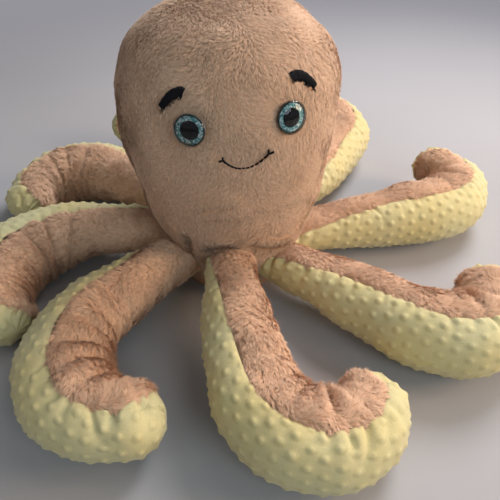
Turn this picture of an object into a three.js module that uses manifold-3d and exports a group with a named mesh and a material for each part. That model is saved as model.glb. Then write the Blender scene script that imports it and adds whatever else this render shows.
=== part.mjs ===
// A large plush octopus that sits on the floor: an egg-shaped furry head on eight stuffed
// tentacles, which all curl the same way. Millimetres, +Z up, origin on the floor under the
// middle of the head, face towards -Y. A piece of cloth is a closed shell, and pieces that
// touch keep a small gap.
import * as THREE from "three";
import { mergeVertices } from "three/addons/utils/BufferGeometryUtils.js";
import Module from "manifold-3d";

// Head, over the fur
const headHeight = 303;
const headRadius = 112;
const headBaseRadius = 66;
const seamHeight = 92;
const seamBandShare = 0.3;
const cheekHeight = 205;
const crownPower = 3.14;

// Cloth and clearances
const furThickness = 4.5;
const dotThickness = 3;
const baseThickness = 3;
const touchGap = 0.4;
const seamGap = 0.6;
const mergeDistance = 0.001;

// Tentacles: half-widths over the fur, and the length of the middle line up to the centre
// of the round tip
const ringStartDegrees = 1;
const tentacleLength = 280;
const rootRadius = 27;
const bendRadius = 44;
const tipRadius = 35;
const widthOverHeightShare = 1.08;
const bendPlaceShare = 0.66;
const riseEndShare = 0.38;
const tipRiseStartShare = 0.6;
const restingFlat = 2.5;

// Each tentacle's lay, from the one on the right round past the back: the turn at its root,
// its slow sweep, how far along it the curl begins and how far the curl turns; how high its
// root and its tip are lifted, as shares of the bend's half-width; its length; and how far its
// seams are rolled over, half-way along and at its root, and how soon they settle
const lays = [
  {
    rootDegrees: 14, sweepDegrees: -2.5, curlStartShare: 0.59, curlDegrees: 123,
    riseShare: 0.29, tipRiseShare: 0.36, lengthShare: 1.1,
    rollDegrees: 0, rootRollDegrees: 0, seamTurnShare: 0.12,
  },
  {
    rootDegrees: 4, sweepDegrees: 21, curlStartShare: 0.72, curlDegrees: 88,
    riseShare: 0.25, tipRiseShare: 0.65, lengthShare: 1.08,
    rollDegrees: 0, rootRollDegrees: 0, seamTurnShare: 0.3,
  },
  {
    rootDegrees: 21, sweepDegrees: -2, curlStartShare: 0.43, curlDegrees: 88,
    riseShare: 0.58, tipRiseShare: 0.57, lengthShare: 1,
    rollDegrees: 0, rootRollDegrees: 0, seamTurnShare: 0.12,
  },
  {
    rootDegrees: 6, sweepDegrees: 10, curlStartShare: 0.46, curlDegrees: 121,
    riseShare: 0.46, tipRiseShare: 0.03, lengthShare: 1.02,
    rollDegrees: -8, rootRollDegrees: 0, seamTurnShare: 0.12,
  },
  {
    rootDegrees: -3, sweepDegrees: 3.5, curlStartShare: 0.27, curlDegrees: 135,
    riseShare: 0.52, tipRiseShare: 0.03, lengthShare: 0.99,
    rollDegrees: -30, rootRollDegrees: -25, seamTurnShare: 0.12,
  },
  {
    rootDegrees: -2, sweepDegrees: 5.5, curlStartShare: 0.33, curlDegrees: 136,
    riseShare: 0.62, tipRiseShare: 0.22, lengthShare: 0.97,
    rollDegrees: -14, rootRollDegrees: 0, seamTurnShare: 0.12,
  },
  {
    rootDegrees: 1, sweepDegrees: 31, curlStartShare: 0.5, curlDegrees: 131,
    riseShare: 0.95, tipRiseShare: 0.03, lengthShare: 1,
    rollDegrees: -3, rootRollDegrees: 0, seamTurnShare: 0.12,
  },
  {
    rootDegrees: 6, sweepDegrees: 5, curlStartShare: 0.53, curlDegrees: 134,
    riseShare: 0.4, tipRiseShare: 0.2, lengthShare: 1.05,
    rollDegrees: -4, rootRollDegrees: -35, seamTurnShare: 0.12,
  },
];
const curlPower = 1.3;

// Where the fur stops, in degrees round a tentacle from its inner side over the top
const furOverTopDegrees = 107;
const furOverTopAtRootDegrees = 168;
const furUnderDegrees = 62;
const furUnderAtRootDegrees = 14;
const fullTurnDegrees = 360;
const furEndLength = 28;
const furEndSetback = 5;

// Eyes, brows and mouth: turns from the head's front towards its left hand
const eyeRadius = 14;
const irisRadius = 13;
const pupilRadius = 8.2;
const lensRim = 1.9;
const lensDome = 5.2;
const eyeRecess = 1.3;
const eyePostRadius = 2.9;
const eyePostEnd = 3;
const washerRadius = 11;
const washerThickness = 1.6;
const eyes = [
  { side: "right", turnDegrees: -13.7, heightShare: 0.7535 },
  { side: "left", turnDegrees: 30.5, heightShare: 0.77 },
];
const browThickness = 1.6;
const browWidth = 9;
const brows = [
  { side: "right", turnsDegrees: [-27, -20.6, -16.7], heightShares: [0.803, 0.853, 0.845] },
  { side: "left", turnsDegrees: [33.4, 40.2, 45.3], heightShares: [0.864, 0.875, 0.832] },
];
const threadRadius = 0.9;
const mouth = { turnsDegrees: [0, 8, 19.7], heightShares: [0.672, 0.607, 0.679] };
const tickLength = 4.2;

// Mesh steps
const headSides = 32;
const furSides = 6;
const dotSides = 7;
const rowPower = 0.9;

const wasm = await Module();
wasm.setup();

const degrees = THREE.MathUtils.degToRad;
const clamp = THREE.MathUtils.clamp;
const lerp = THREE.MathUtils.lerp;

function material(color, roughness) {
  return new THREE.MeshStandardMaterial({ color, roughness, metalness: 0 });
}

const materials = {
  fur: () => material(0xc79a82, 0.95),
  dots: () => material(0xe6dda6, 0.85),
  base: () => material(0xb98c74, 0.95),
  stuffing: () => material(0xf2f0ea, 1),
  lens: () => material(0xdfeceb, 0.08),
  iris: () => material(0x4fa3a3, 0.35),
  pupil: () => material(0x0b0b0d, 0.15),
  washer: () => material(0xe8e8e4, 0.5),
  black: () => material(0x15161a, 0.9),
};

// A closed shell between two grids of points, with a wall along every open edge. Where two
// edges of a grid meet, their walls cancel and the shell closes on itself.
function shellGeometry(outer, inner) {
  const rows = outer.length;
  const columns = outer[0].length;
  const points = [...outer.flat(), ...inner.flat()];
  const over = (row, column) => row * columns + column;
  const under = (row, column) => rows * columns + row * columns + column;
  const triangles = [];
  const quad = (a, b, c, d) => triangles.push([a, b, c], [a, c, d]);
  for (let row = 1; row < rows; row++) {
    for (let column = 1; column < columns; column++) {
      const [r, c] = [row - 1, column - 1];
      quad(over(r, c), over(row, c), over(row, column), over(r, column));
      quad(under(r, c), under(r, column), under(row, column), under(row, c));
    }
  }
  const last = columns - 1;
  for (let row = 1; row < rows; row++) {
    const r = row - 1;
    triangles.push([over(r, 0), under(row, 0), over(row, 0)]);
    triangles.push([over(r, 0), under(r, 0), under(row, 0)]);
    triangles.push([over(r, last), over(row, last), under(row, last)]);
    triangles.push([over(r, last), under(row, last), under(r, last)]);
  }
  const end = rows - 1;
  for (let column = 1; column < columns; column++) {
    const c = column - 1;
    quad(over(0, c), over(0, column), under(0, column), under(0, c));
    quad(over(end, c), under(end, c), under(end, column), over(end, column));
  }
  return closedGeometry(points, triangles);
}

// A closed skin round a grid whose columns run right round, with a fan over the first row
function coreGeometry(grid, middle) {
  const rows = grid.length;
  const columns = grid[0].length;
  const points = [...grid.flat(), middle];
  const triangles = [];
  for (let column = 0; column < columns; column++) {
    const next = (column + 1) % columns;
    triangles.push([rows * columns, column, next]);
    for (let row = 1; row < rows; row++) {
      const [a, b] = [(row - 1) * columns, row * columns];
      triangles.push([a + column, b + column, b + next], [a + column, b + next, a + next]);
    }
  }
  return closedGeometry(points, triangles);
}

// Merges points that coincide, drops triangles that have collapsed or that cancel, and turns
// the rest to face out
function closedGeometry(points, triangles) {
  const places = new Map();
  const positions = [];
  const merged = points.map((point) => {
    const key = point.toArray().map((value) => Math.round(value / mergeDistance)).join();
    if (!places.has(key)) {
      places.set(key, places.size);
      positions.push(point.x, point.y, point.z);
    }
    return places.get(key);
  });
  const kept = new Map();
  for (const triangle of triangles) {
    const corners = triangle.map((corner) => merged[corner]);
    if (new Set(corners).size < corners.length) continue;
    const key = [...corners].sort((a, b) => a - b).join();
    if (kept.has(key)) kept.delete(key);
    else kept.set(key, corners);
  }
  const faces = [...kept.values()];
  const corner = (place) => new THREE.Vector3().fromArray(positions, 3 * place);
  const volume = faces.reduce(
    (sum, [a, b, c]) => sum + corner(a).dot(corner(b).cross(corner(c))),
    0,
  );
  if (volume < 0) faces.forEach((face) => face.reverse());
  const geometry = new THREE.BufferGeometry();
  geometry.setAttribute("position", new THREE.Float32BufferAttribute(positions, 3));
  geometry.setIndex(faces.flat());
  return geometry;
}

function solid(geometry) {
  const bare = geometry.clone();
  bare.deleteAttribute("normal");
  bare.deleteAttribute("uv");
  const merged = mergeVertices(bare, mergeDistance);
  return new wasm.Manifold(
    new wasm.Mesh({
      numProp: 3,
      vertProperties: new Float32Array(merged.attributes.position.array),
      triVerts: new Uint32Array(merged.index.array),
    }),
  );
}

function geometryOf(manifold) {
  const mesh = manifold.getMesh();
  const geometry = new THREE.BufferGeometry();
  geometry.setAttribute("position", new THREE.BufferAttribute(mesh.vertProperties, 3));
  geometry.setIndex(new THREE.BufferAttribute(mesh.triVerts, 1));
  return geometry;
}

function cut(geometry, ...tools) {
  const whole = tools.reduce((rest, tool) => rest.subtract(solid(tool)), solid(geometry));
  return geometryOf(whole);
}

function mesh(name, geometry, kind) {
  const shown = geometry.index ? geometry : mergeVertices(geometry, mergeDistance);
  const piece = new THREE.Mesh(shown, materials[kind]());
  shown.computeVertexNormals();
  piece.name = name;
  return piece;
}

// Head outline, from the floor edge up to the crown: a straight band that the tentacles are
// sewn to, a cheek line and a full crown
function headOutline() {
  const seamRadius = headBaseRadius + seamBandShare * seamHeight;
  const cheek = new THREE.QuadraticBezierCurve(
    new THREE.Vector2(seamRadius, seamHeight),
    new THREE.Vector2(headRadius, seamHeight + (headRadius - seamRadius) / seamBandShare),
    new THREE.Vector2(headRadius, cheekHeight),
  );
  const crownSteps = 6;
  const crown = Array.from({ length: crownSteps }, (_, step) => {
    const rise = Math.sin((Math.PI / 2) * ((step + 1) / crownSteps));
    const width = Math.sqrt(1 - Math.min(1, rise ** crownPower));
    return new THREE.Vector2(
      headRadius * width,
      cheekHeight + (headHeight - cheekHeight) * rise,
    );
  });
  return [new THREE.Vector2(headBaseRadius, 0), ...cheek.getPoints(5), ...crown];
}
const outline = headOutline();

function headRadiusAt(height) {
  const upper = outline.findIndex((point, index) => index > 0 && height <= point.y);
  const top = upper < 0 ? outline.length - 1 : upper;
  const [below, above] = [outline[top - 1], outline[top]];
  return lerp(below.x, above.x, (height - below.y) / (above.y - below.y));
}

// A point on the head's own facets, or lifted off it along its normal
function headPoint(turn, height, lift = 0) {
  const radius = headRadiusAt(height);
  const side = (2 * Math.PI) / headSides;
  const azimuth = degrees(turn - 90);
  const offMiddle = azimuth - (Math.floor(azimuth / side) + 0.5) * side;
  const facetRadius = (radius * Math.cos(side / 2)) / Math.cos(offMiddle);
  const drop = headRadiusAt(height - eyeRadius) - headRadiusAt(height + eyeRadius);
  const lean = Math.atan2(drop, 2 * eyeRadius);
  const out = facetRadius + lift * Math.cos(lean);
  return new THREE.Vector3(
    out * Math.cos(azimuth),
    out * Math.sin(azimuth),
    height + lift * Math.sin(lean),
  );
}

// The head's outline drawn in by a depth all round, and kept off the floor
function innerOutline(depth, floor) {
  return outline.map((point, index) => {
    const before = outline[Math.max(0, index - 1)];
    const after = outline[Math.min(outline.length - 1, index + 1)];
    const along = new THREE.Vector2().subVectors(after, before).normalize();
    if (index === outline.length - 1) return new THREE.Vector2(0, point.y - depth);
    return new THREE.Vector2(point.x - depth * along.y, Math.max(floor, point.y + depth * along.x));
  });
}

function headShell(name, front) {
  const half = headSides / 2;
  const inner = innerOutline(furThickness, 0);
  inner[0].y = 0;
  const side = front ? -1 : 1;
  const grid = (profile) =>
    profile.map((point) =>
      Array.from({ length: half + 1 }, (_, column) => {
        const azimuth = (side < 0 ? Math.PI : 0) + (Math.PI * column) / half;
        const y = point.x * Math.sin(azimuth);
        const seam = (side * seamGap) / 2;
        return new THREE.Vector3(
          point.x * Math.cos(azimuth),
          side < 0 ? Math.min(seam, y) : Math.max(seam, y),
          point.y,
        );
      }),
    );
  return shellGeometry(grid(outline), grid(inner));
}

function addHead(toy) {
  const posts = eyes.map((eye) => onEye(eye, postHole()));
  toy.add(mesh("head_cover_front", cut(headShell("front", true), ...posts), "fur"));
  toy.add(mesh("head_cover_back", headShell("back", false), "fur"));
  const depth = furThickness + touchGap;
  const floor = baseThickness + touchGap;
  const core = innerOutline(depth, floor);
  const profile = [new THREE.Vector2(0, floor), ...core];
  const fill = new THREE.LatheGeometry(profile, headSides / 2);
  fill.rotateX(Math.PI / 2);
  const pockets = eyes.map((eye) => onEye(eye, washerPocket()));
  toy.add(mesh("head_stuffing", cut(fill, ...pockets), "stuffing"));
  const baseRadius = innerOutline(furThickness, 0)[0].x - seamGap;
  const base = new THREE.CylinderGeometry(baseRadius, baseRadius, baseThickness, headSides);
  base.rotateX(Math.PI / 2);
  base.translate(0, 0, baseThickness / 2);
  toy.add(mesh("base_panel", base, "base"));
}

// What sits on the head's facets clears the ridges between them
const faceLift = 2 * touchGap;

// Eyes: a clear lens over a glitter disc and a black pupil, whose post goes through the
// cover into a washer
const washerDepth = faceLift + furThickness + washerRadius ** 2 / headRadius + 2 * touchGap;
const postLength = washerDepth + washerThickness + eyePostEnd;

function turned(profile, sides) {
  const points = profile.map(([radius, height]) => new THREE.Vector2(radius, height));
  return new THREE.LatheGeometry(points, sides);
}

function postHole() {
  const radius = eyePostRadius + touchGap;
  const length = 4 * furThickness;
  return new THREE.CylinderGeometry(radius, radius, length, 12);
}

function washerPocket() {
  const radius = washerRadius + touchGap;
  const top = 2 * furThickness;
  const bottom = -postLength - touchGap;
  const pocket = new THREE.CylinderGeometry(radius, radius, top - bottom, 20);
  pocket.translate(0, (top + bottom) / 2, 0);
  return pocket;
}

// Stands a piece that was made along +Y on the head where an eye is
function onEye(eye, geometry) {
  const height = eye.heightShare * headHeight;
  const seat = headPoint(eye.turnDegrees, height, faceLift);
  const outward = seat.clone().sub(headPoint(eye.turnDegrees, height)).normalize();
  const stand = new THREE.Quaternion().setFromUnitVectors(new THREE.Vector3(0, 1, 0), outward);
  geometry.applyQuaternion(stand);
  geometry.translate(...seat);
  return geometry;
}

function lensGeometry() {
  const rim = irisRadius + touchGap;
  const dome = Array.from({ length: 7 }, (_, step) => {
    const rise = (Math.PI / 2) * (step / 6);
    return [eyeRadius * Math.cos(rise), lensRim + lensDome * Math.sin(rise)];
  });
  dome[6][0] = 0;
  return turned([[0, eyeRecess], [rim, eyeRecess], [rim, 0], [eyeRadius, 0], ...dome], 24);
}

function addEye(toy, eye) {
  const name = (piece) => `eye_${eye.side}_${piece}`;
  const disc = eyeRecess - touchGap;
  const hole = pupilRadius + touchGap;
  const iris = [[hole, 0], [irisRadius, 0], [irisRadius, disc], [hole, disc], [hole, 0]];
  const pupil = [
    [0, -postLength],
    [eyePostRadius, -postLength],
    [eyePostRadius, 0],
    [pupilRadius, 0],
    [pupilRadius, disc],
    [0, disc],
  ];
  const bore = eyePostRadius + touchGap / 2;
  const low = -washerDepth - washerThickness;
  const washer = [
    [bore, low],
    [washerRadius, low],
    [washerRadius, -washerDepth],
    [bore, -washerDepth],
    [bore, low],
  ];
  toy.add(mesh(name("lens"), onEye(eye, lensGeometry()), "lens"));
  toy.add(mesh(name("iris"), onEye(eye, turned(iris, 24)), "iris"));
  toy.add(mesh(name("pupil"), onEye(eye, turned(pupil, 20)), "pupil"));
  toy.add(mesh(name("washer"), onEye(eye, turned(washer, 20)), "washer"));
}

// A curved line on the face, as turns and heights
function faceLine({ turnsDegrees, heightShares }) {
  const places = turnsDegrees.map((turn, at) => new THREE.Vector2(turn, heightShares[at] * headHeight));
  return new THREE.QuadraticBezierCurve(...places);
}

// Brows: arched strips of black cloth that follow the head
function addBrow(toy, brow) {
  const steps = 8;
  const line = faceLine(brow);
  const row = (share, lift) => {
    const [turn, height] = line.getPoint(share).toArray();
    const tangent = line.getTangent(share);
    const arc = degrees(headPoint(turn, height).setZ(0).length());
    const across = new THREE.Vector2(-tangent.y, tangent.x * arc).normalize();
    return [-0.5, 0, 0.5].map((place) =>
      headPoint(
        turn + (place * browWidth * across.x) / arc,
        height + place * browWidth * across.y,
        lift,
      ),
    );
  };
  const grid = (lift) => Array.from({ length: steps + 1 }, (_, step) => row(step / steps, lift));
  const strip = shellGeometry(grid(faceLift + browThickness), grid(faceLift));
  toy.add(mesh(`brow_${brow.side}`, strip, "black"));
}

// Mouth: one line of black thread with a short stitch across each end
function threadGeometry(points, steps) {
  const section = new THREE.Shape();
  section.absarc(0, 0, threadRadius, 0, 2 * Math.PI);
  return new THREE.ExtrudeGeometry(section, {
    steps,
    curveSegments: 3,
    bevelEnabled: false,
    extrudePath: new THREE.CatmullRomCurve3(points),
  });
}

function addMouth(toy) {
  const lift = faceLift + threadRadius;
  const line = faceLine(mouth);
  const smile = line.getPoints(12).map((at) => headPoint(at.x, at.y, lift));
  const stitches = [line.v0, line.v2].map((end, index) => {
    const away = ((index === 0 ? -1 : 1) * tickLength) / degrees(headRadius);
    const reach = (share) => [end.x + away * share, end.y - (share * tickLength) / 3];
    return [-0.6, 0.2, 1].map((share) => headPoint(...reach(share), lift));
  });
  const pieces = [threadGeometry(smile, 16), ...stitches.map((stitch) => threadGeometry(stitch, 2))];
  const whole = pieces.map(solid).reduce((sum, piece) => sum.add(piece));
  toy.add(mesh("mouth_stitch", geometryOf(whole), "black"));
}

// Tentacles: a fur panel over the top and the inner side, a dotted panel under and outside,
// and stuffing, lofted along a line on the floor that curls to the left
function halfWidth(share) {
  if (share < bendPlaceShare) {
    const rise = Math.sin((Math.PI / 2) * (share / bendPlaceShare)) ** curlPower;
    return lerp(rootRadius, bendRadius, rise);
  }
  const fall = 1 - Math.cos((Math.PI / 2) * ((share - bendPlaceShare) / (1 - bendPlaceShare)));
  return lerp(bendRadius, tipRadius, fall);
}

// How high the middle line runs: the root hangs off the floor and the tip may lift again
function centreHeight(lay, share) {
  const root = lay.riseShare * Math.exp(-((share / riseEndShare) ** 2));
  const upTip = clamp((share - tipRiseStartShare) / (1 - tipRiseStartShare), 0, 1);
  const rise = (root + lay.tipRiseShare * upTip ** 2) * bendRadius;
  return halfWidth(share) / widthOverHeightShare - restingFlat + rise;
}

// The middle line's point and heading at a length from the root
function middleLine(index) {
  const lay = lays[index];
  const ring = degrees(ringStartDegrees + (fullTurnDegrees / lays.length) * index);
  const steps = 240;
  const heading = (share) => {
    const curled = clamp((share - lay.curlStartShare) / (1 - lay.curlStartShare), 0, 1);
    const curl = lay.curlDegrees * curled ** curlPower;
    return ring + degrees(lay.rootDegrees + lay.sweepDegrees * share + curl);
  };
  const start = headRadiusAt(centreHeight(lay, 0));
  const at = [new THREE.Vector2(start * Math.cos(ring), start * Math.sin(ring))];
  for (let step = 0; step < steps; step++) {
    const way = heading((step + 0.5) / steps);
    const stride = (tentacleLength * lay.lengthShare) / steps;
    const next = new THREE.Vector2(Math.cos(way), Math.sin(way)).multiplyScalar(stride);
    at.push(next.add(at[step]));
  }
  return (length) => {
    const share = clamp(length / tentacleLength, 0, 1);
    const step = Math.min(steps - 1, Math.floor(share * steps));
    const point = at[step].clone().lerp(at[step + 1], share * steps - step);
    const way = heading(share);
    const beyond = Math.max(0, length - tentacleLength);
    point.add(new THREE.Vector2(Math.cos(way), Math.sin(way)).multiplyScalar(beyond));
    return { point, way, share, beyond, lay };
  };
}

// Lengths from the root of each row of points: closer together towards the curl, then round
// the fur's end and over the tip
const furEnd = tentacleLength - furEndSetback + furEndLength;
function rowLengths() {
  const bodySteps = 9;
  const closingStart = tentacleLength - furEndSetback;
  const rowShare = (row) => (row / bodySteps) ** rowPower;
  const body = Array.from({ length: bodySteps + 1 }, (_, row) => closingStart * rowShare(row));
  const closing = [25, 50, 70, 90].map((turn) => closingStart + furEndLength * Math.sin(degrees(turn)));
  const left = tentacleLength + tipRadius - furEnd;
  return [...body, ...closing, furEnd + 0.6 * left, tentacleLength + tipRadius];
}

// The fur's two edges at a length, as angles round the section
function furEdges(lay, length) {
  const turned = Math.exp(-length / (tentacleLength * lay.seamTurnShare));
  const roll = lay.rollDegrees * Math.sin(Math.PI * clamp(length / tentacleLength, 0, 1));
  const rootRoll = lay.rootRollDegrees;
  const over = lerp(furOverTopDegrees + roll, furOverTopAtRootDegrees + rootRoll, turned);
  const under = -lerp(furUnderDegrees - roll, furUnderAtRootDegrees - rootRoll, turned);
  const middle = (over + under) / 2;
  const closing = clamp((length - tentacleLength + furEndSetback) / furEndLength, 0, 1);
  const half = ((over - under) / 2) * Math.sqrt(1 - closing ** 2);
  return { from: middle - half, to: middle + half };
}

// A point of the section at an angle, drawn in by a depth from the fur's surface
function sectionPoint(line, length, angle, depth) {
  const { point, way, share, beyond, lay } = line(length);
  const round = Math.sqrt(Math.max(0, 1 - (beyond / tipRadius) ** 2));
  const full = halfWidth(share);
  const size = Math.max(0, full - depth) * round;
  const across = size * Math.cos(degrees(angle));
  const up = (size / widthOverHeightShare) * Math.sin(degrees(angle));
  const floor = Math.max(0, depth - (furThickness - dotThickness));
  return new THREE.Vector3(
    point.x - across * Math.sin(way),
    point.y + across * Math.cos(way),
    Math.max(floor, centreHeight(lay, share) + up),
  );
}

// Slides a root point along the tentacle's heading until it meets the head's band
function ontoHead(line, point, clear = seamGap) {
  const { way } = line(0);
  const reach = headRadiusAt(point.z) + clear;
  const along = new THREE.Vector2(Math.cos(way), Math.sin(way));
  const flat = new THREE.Vector2(point.x, point.y);
  const ahead = flat.dot(along);
  const slide = -ahead + Math.sqrt(ahead ** 2 - flat.lengthSq() + reach ** 2);
  flat.addScaledVector(along, slide);
  return new THREE.Vector3(flat.x, flat.y, point.z);
}

function panelGrid(line, lengths, sides, edges, depth) {
  return lengths.map((length, row) => {
    const { from, to } = edges(length);
    return Array.from({ length: sides + 1 }, (_, column) => {
      const angle = lerp(from, to, column / sides);
      const point = sectionPoint(line, length, angle, depth);
      return row === 0 ? ontoHead(line, point) : point;
    });
  });
}

function addTentacle(toy, index) {
  const lay = lays[index];
  const line = middleLine(index);
  const lengths = rowLengths();
  const name = (piece) => `tentacle_${index + 1}_${piece}`;
  const margin = (length) => {
    const radius = halfWidth(clamp(length / tentacleLength, 0, 1));
    return THREE.MathUtils.radToDeg(touchGap / radius);
  };
  const furSpan = (length) => {
    const { from, to } = furEdges(lay, length);
    return { from: from + margin(length), to: to - margin(length) };
  };
  const furLengths = lengths.filter((length) => length < furEnd);
  const point = (length) => {
    const { from, to } = furEdges(lay, furEnd);
    return { from: (from + to) / 2, to: (from + to) / 2 };
  };
  const furRows = (depth) => [
    ...panelGrid(line, furLengths, furSides, furSpan, depth),
    ...panelGrid(line, [furEnd - 2 * seamGap, furEnd - 2 * seamGap], furSides, point, depth).slice(1),
  ];
  toy.add(mesh(name("fur_panel"), shellGeometry(furRows(0), furRows(furThickness)), "fur"));

  const dotSpan = (length) => {
    const { from, to } = furEdges(lay, length);
    const open = length < furEnd - touchGap ? margin(length) : 0;
    return { from: to + open, to: from - open + fullTurnDegrees };
  };
  const proud = furThickness - dotThickness;
  const dotRows = (depth) => panelGrid(line, lengths, dotSides, dotSpan, depth);
  toy.add(mesh(name("dot_panel"), shellGeometry(dotRows(proud), dotRows(furThickness)), "dots"));

  const coreDepth = furThickness + 2 * touchGap;
  const endClear = seamGap + rootRadius ** 2 / headBaseRadius / 8;
  const coreRows = lengths.map((length, row) => {
    const fur = furEdges(lay, length);
    const columns = [];
    const around = fur.from + fullTurnDegrees;
    for (let side = 0; side < furSides; side++) columns.push(lerp(fur.from, fur.to, side / furSides));
    for (let side = 0; side < dotSides; side++) columns.push(lerp(fur.to, around, side / dotSides));
    return columns.map((angle) => {
      const at = sectionPoint(line, length, angle, coreDepth);
      return row === 0 ? ontoHead(line, at, endClear) : at;
    });
  });
  const rootMiddle = new THREE.Vector3(...line(0).point, centreHeight(lay, 0));
  const core = coreGeometry(coreRows, ontoHead(line, rootMiddle, endClear));
  toy.add(mesh(name("stuffing"), core, "stuffing"));
}

const toy = new THREE.Group();
toy.name = "plush_octopus";
addHead(toy);
eyes.forEach((eye) => addEye(toy, eye));
brows.forEach((brow) => addBrow(toy, brow));
addMouth(toy);
lays.forEach((_, index) => addTentacle(toy, index));

export default toy;
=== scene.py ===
"""A large plush octopus on a pale floor: a furry egg-shaped head with glitter eyes, stitched
brows and a thread smile, on eight stuffed tentacles with fur above and dotted cloth below.
Forms are worked out in millimetres, in the frame of the CAD model, and handed over in metres.
"""

from collections import namedtuple
from math import cos, pi, radians, sin, sqrt, tau

import bpy
import numpy as np
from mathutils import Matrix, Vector
from mathutils.kdtree import KDTree


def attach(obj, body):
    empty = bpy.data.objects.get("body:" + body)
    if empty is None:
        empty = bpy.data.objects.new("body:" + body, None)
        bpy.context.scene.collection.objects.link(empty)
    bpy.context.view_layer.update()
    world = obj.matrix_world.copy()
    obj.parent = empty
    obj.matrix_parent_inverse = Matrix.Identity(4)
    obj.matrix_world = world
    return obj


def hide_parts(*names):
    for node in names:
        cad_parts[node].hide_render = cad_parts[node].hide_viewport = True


MM = 0.001

# Head, over the fur
HEAD_HEIGHT, CHEEK_HEIGHT, SEAM_HEIGHT = 303.0, 205.0, 92.0
HEAD_RADIUS, HEAD_BASE_RADIUS = 112.0, 66.0
SEAM_BAND_SHARE = 0.3
CROWN_POWER = 3.14
HEAD_SIDES = 32

# Tentacles
RING_START = 1.0
TENTACLE_LENGTH = 280.0
ROOT_RADIUS, BEND_RADIUS, TIP_RADIUS = 27.0, 44.0, 35.0
WIDTH_OVER_HEIGHT = 1.08
BEND_PLACE = 0.66
RISE_END, TIP_RISE_START = 0.38, 0.6
RESTING_FLAT = 2.5
CURL_POWER = 1.3
# How each tentacle lies: the turn at its root, a slow sweep, where the curl starts and how far
# it turns; how high root and tip are lifted, as shares of the bend; its length as a share; the
# roll of its seams half-way along and at its root, and over what share the root's roll fades
Lay = namedtuple("Lay", "root sweep start curl rise tip_rise length roll root_roll fade")
LAYS = [
    Lay(14, -2.5, 0.59, 123, 0.29, 0.36, 1.1, 0, 0, 0.12),
    Lay(4, 21, 0.72, 88, 0.25, 0.65, 1.08, 0, 0, 0.3),
    Lay(21, -2, 0.43, 88, 0.58, 0.57, 1, 0, 0, 0.12),
    Lay(6, 10, 0.46, 121, 0.46, 0.03, 1.02, -8, 0, 0.12),
    Lay(-3, 3.5, 0.27, 135, 0.52, 0.03, 0.99, -30, -25, 0.12),
    Lay(-2, 5.5, 0.33, 136, 0.62, 0.22, 0.97, -14, 0, 0.12),
    Lay(1, 31, 0.5, 131, 0.95, 0.03, 1, -3, 0, 0.12),
    Lay(6, 5, 0.53, 134, 0.4, 0.2, 1.05, -4, -35, 0.12),
]
# How far round the fur reaches above and below, in degrees from the inner side, and its round end
FUR_OVER, FUR_OVER_AT_ROOT = 107.0, 168.0
FUR_UNDER, FUR_UNDER_AT_ROOT = 62.0, 14.0
FUR_END_LENGTH = 28.0
FUR_END_SETBACK = 5.0
FUR_CLOSING = TENTACLE_LENGTH - FUR_END_SETBACK
TENTACLE_END = TENTACLE_LENGTH + TIP_RADIUS
# Deep folds across a tentacle's inner side: how far along, and how deep
CREASES = {
    3: ((176, 0.6), (205, 0.9), (232, 0.7)),
    4: ((112, 0.5), (150, 0.8), (172, 0.9), (205, 0.7)),
    5: ((96, 0.5), (150, 0.6), (178, 0.8), (214, 0.9), (243, 0.7)),
    6: ((84, 0.45), (138, 0.5), (222, 1.3), (186, 0.6)),
    7: ((205, 0.9), (238, 0.6)),
    0: ((17, 0.9), (214, 0.8), (240, 0.7)),
}
# How strongly the dotted cloth is gathered at each root
ROOT_GATHERS = (0.5, 0.3, 0.3, 0.4, 0.5, 0.3, 0.4, 2.0)

# Depths below the CAD surface, which is drawn over the fur
FUR_DEPTH, DOT_DEPTH, FILLING_DEPTH = 3.4, 2.0, 18.0
DOT_PITCH, DOT_HEIGHT, DOT_RADIUS = 15.5, 1.75, 4.8

# The camera's place in metres, degrees up from straight down, focal length and film width
CAMERA_PLACE = (0.0225, -0.46927, 0.40418)
CAMERA_TIP = 50
CAMERA_LENS, CAMERA_FILM = 34.56, 36.0


def new_object(name, data):
    """An object of the scene that holds a mesh, a lamp or a camera."""
    made = bpy.data.objects.new(name, data)
    bpy.context.scene.collection.objects.link(made)
    return made


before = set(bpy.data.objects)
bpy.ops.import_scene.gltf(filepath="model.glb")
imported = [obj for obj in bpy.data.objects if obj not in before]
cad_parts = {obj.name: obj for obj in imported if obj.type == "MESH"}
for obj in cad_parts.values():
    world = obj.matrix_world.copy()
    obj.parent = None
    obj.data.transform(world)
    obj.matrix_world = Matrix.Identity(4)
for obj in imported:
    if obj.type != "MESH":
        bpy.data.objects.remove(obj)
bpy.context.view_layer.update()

lens = bpy.data.cameras.new("camera")
lens.lens, lens.sensor_width = CAMERA_LENS, CAMERA_FILM
camera = new_object("camera", lens)
camera.location = CAMERA_PLACE
camera.rotation_euler = (radians(CAMERA_TIP), 0, 0)
bpy.context.scene.camera = camera


# Meshes


def mesh_object(name, points, faces, material):
    """A smooth mesh from millimetre points."""
    mesh = bpy.data.meshes.new(name)
    points = np.asarray(points, float).reshape(-1, 3) * MM
    faces = np.asarray(faces, np.int32)
    mesh.vertices.add(len(points))
    mesh.vertices.foreach_set("co", points.astype(np.float32).ravel())
    mesh.loops.add(faces.size)
    mesh.loops.foreach_set("vertex_index", faces.ravel())
    mesh.polygons.add(len(faces))
    starts = np.arange(0, faces.size, faces.shape[1], dtype=np.int32)
    mesh.polygons.foreach_set("loop_start", starts)
    mesh.update(calc_edges=True)
    mesh.shade_smooth()
    mesh.materials.append(material)
    return new_object(name, mesh)


def add_mesh(name, points, faces, material, body="head", slot="fur", stands_for=None):
    """A piece that rides on a body and stands for a CAD node, unless it is pile."""
    piece = mesh_object(name, points, faces, material)
    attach(piece, body)
    if stands_for:
        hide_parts(stands_for)
    return piece


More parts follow.
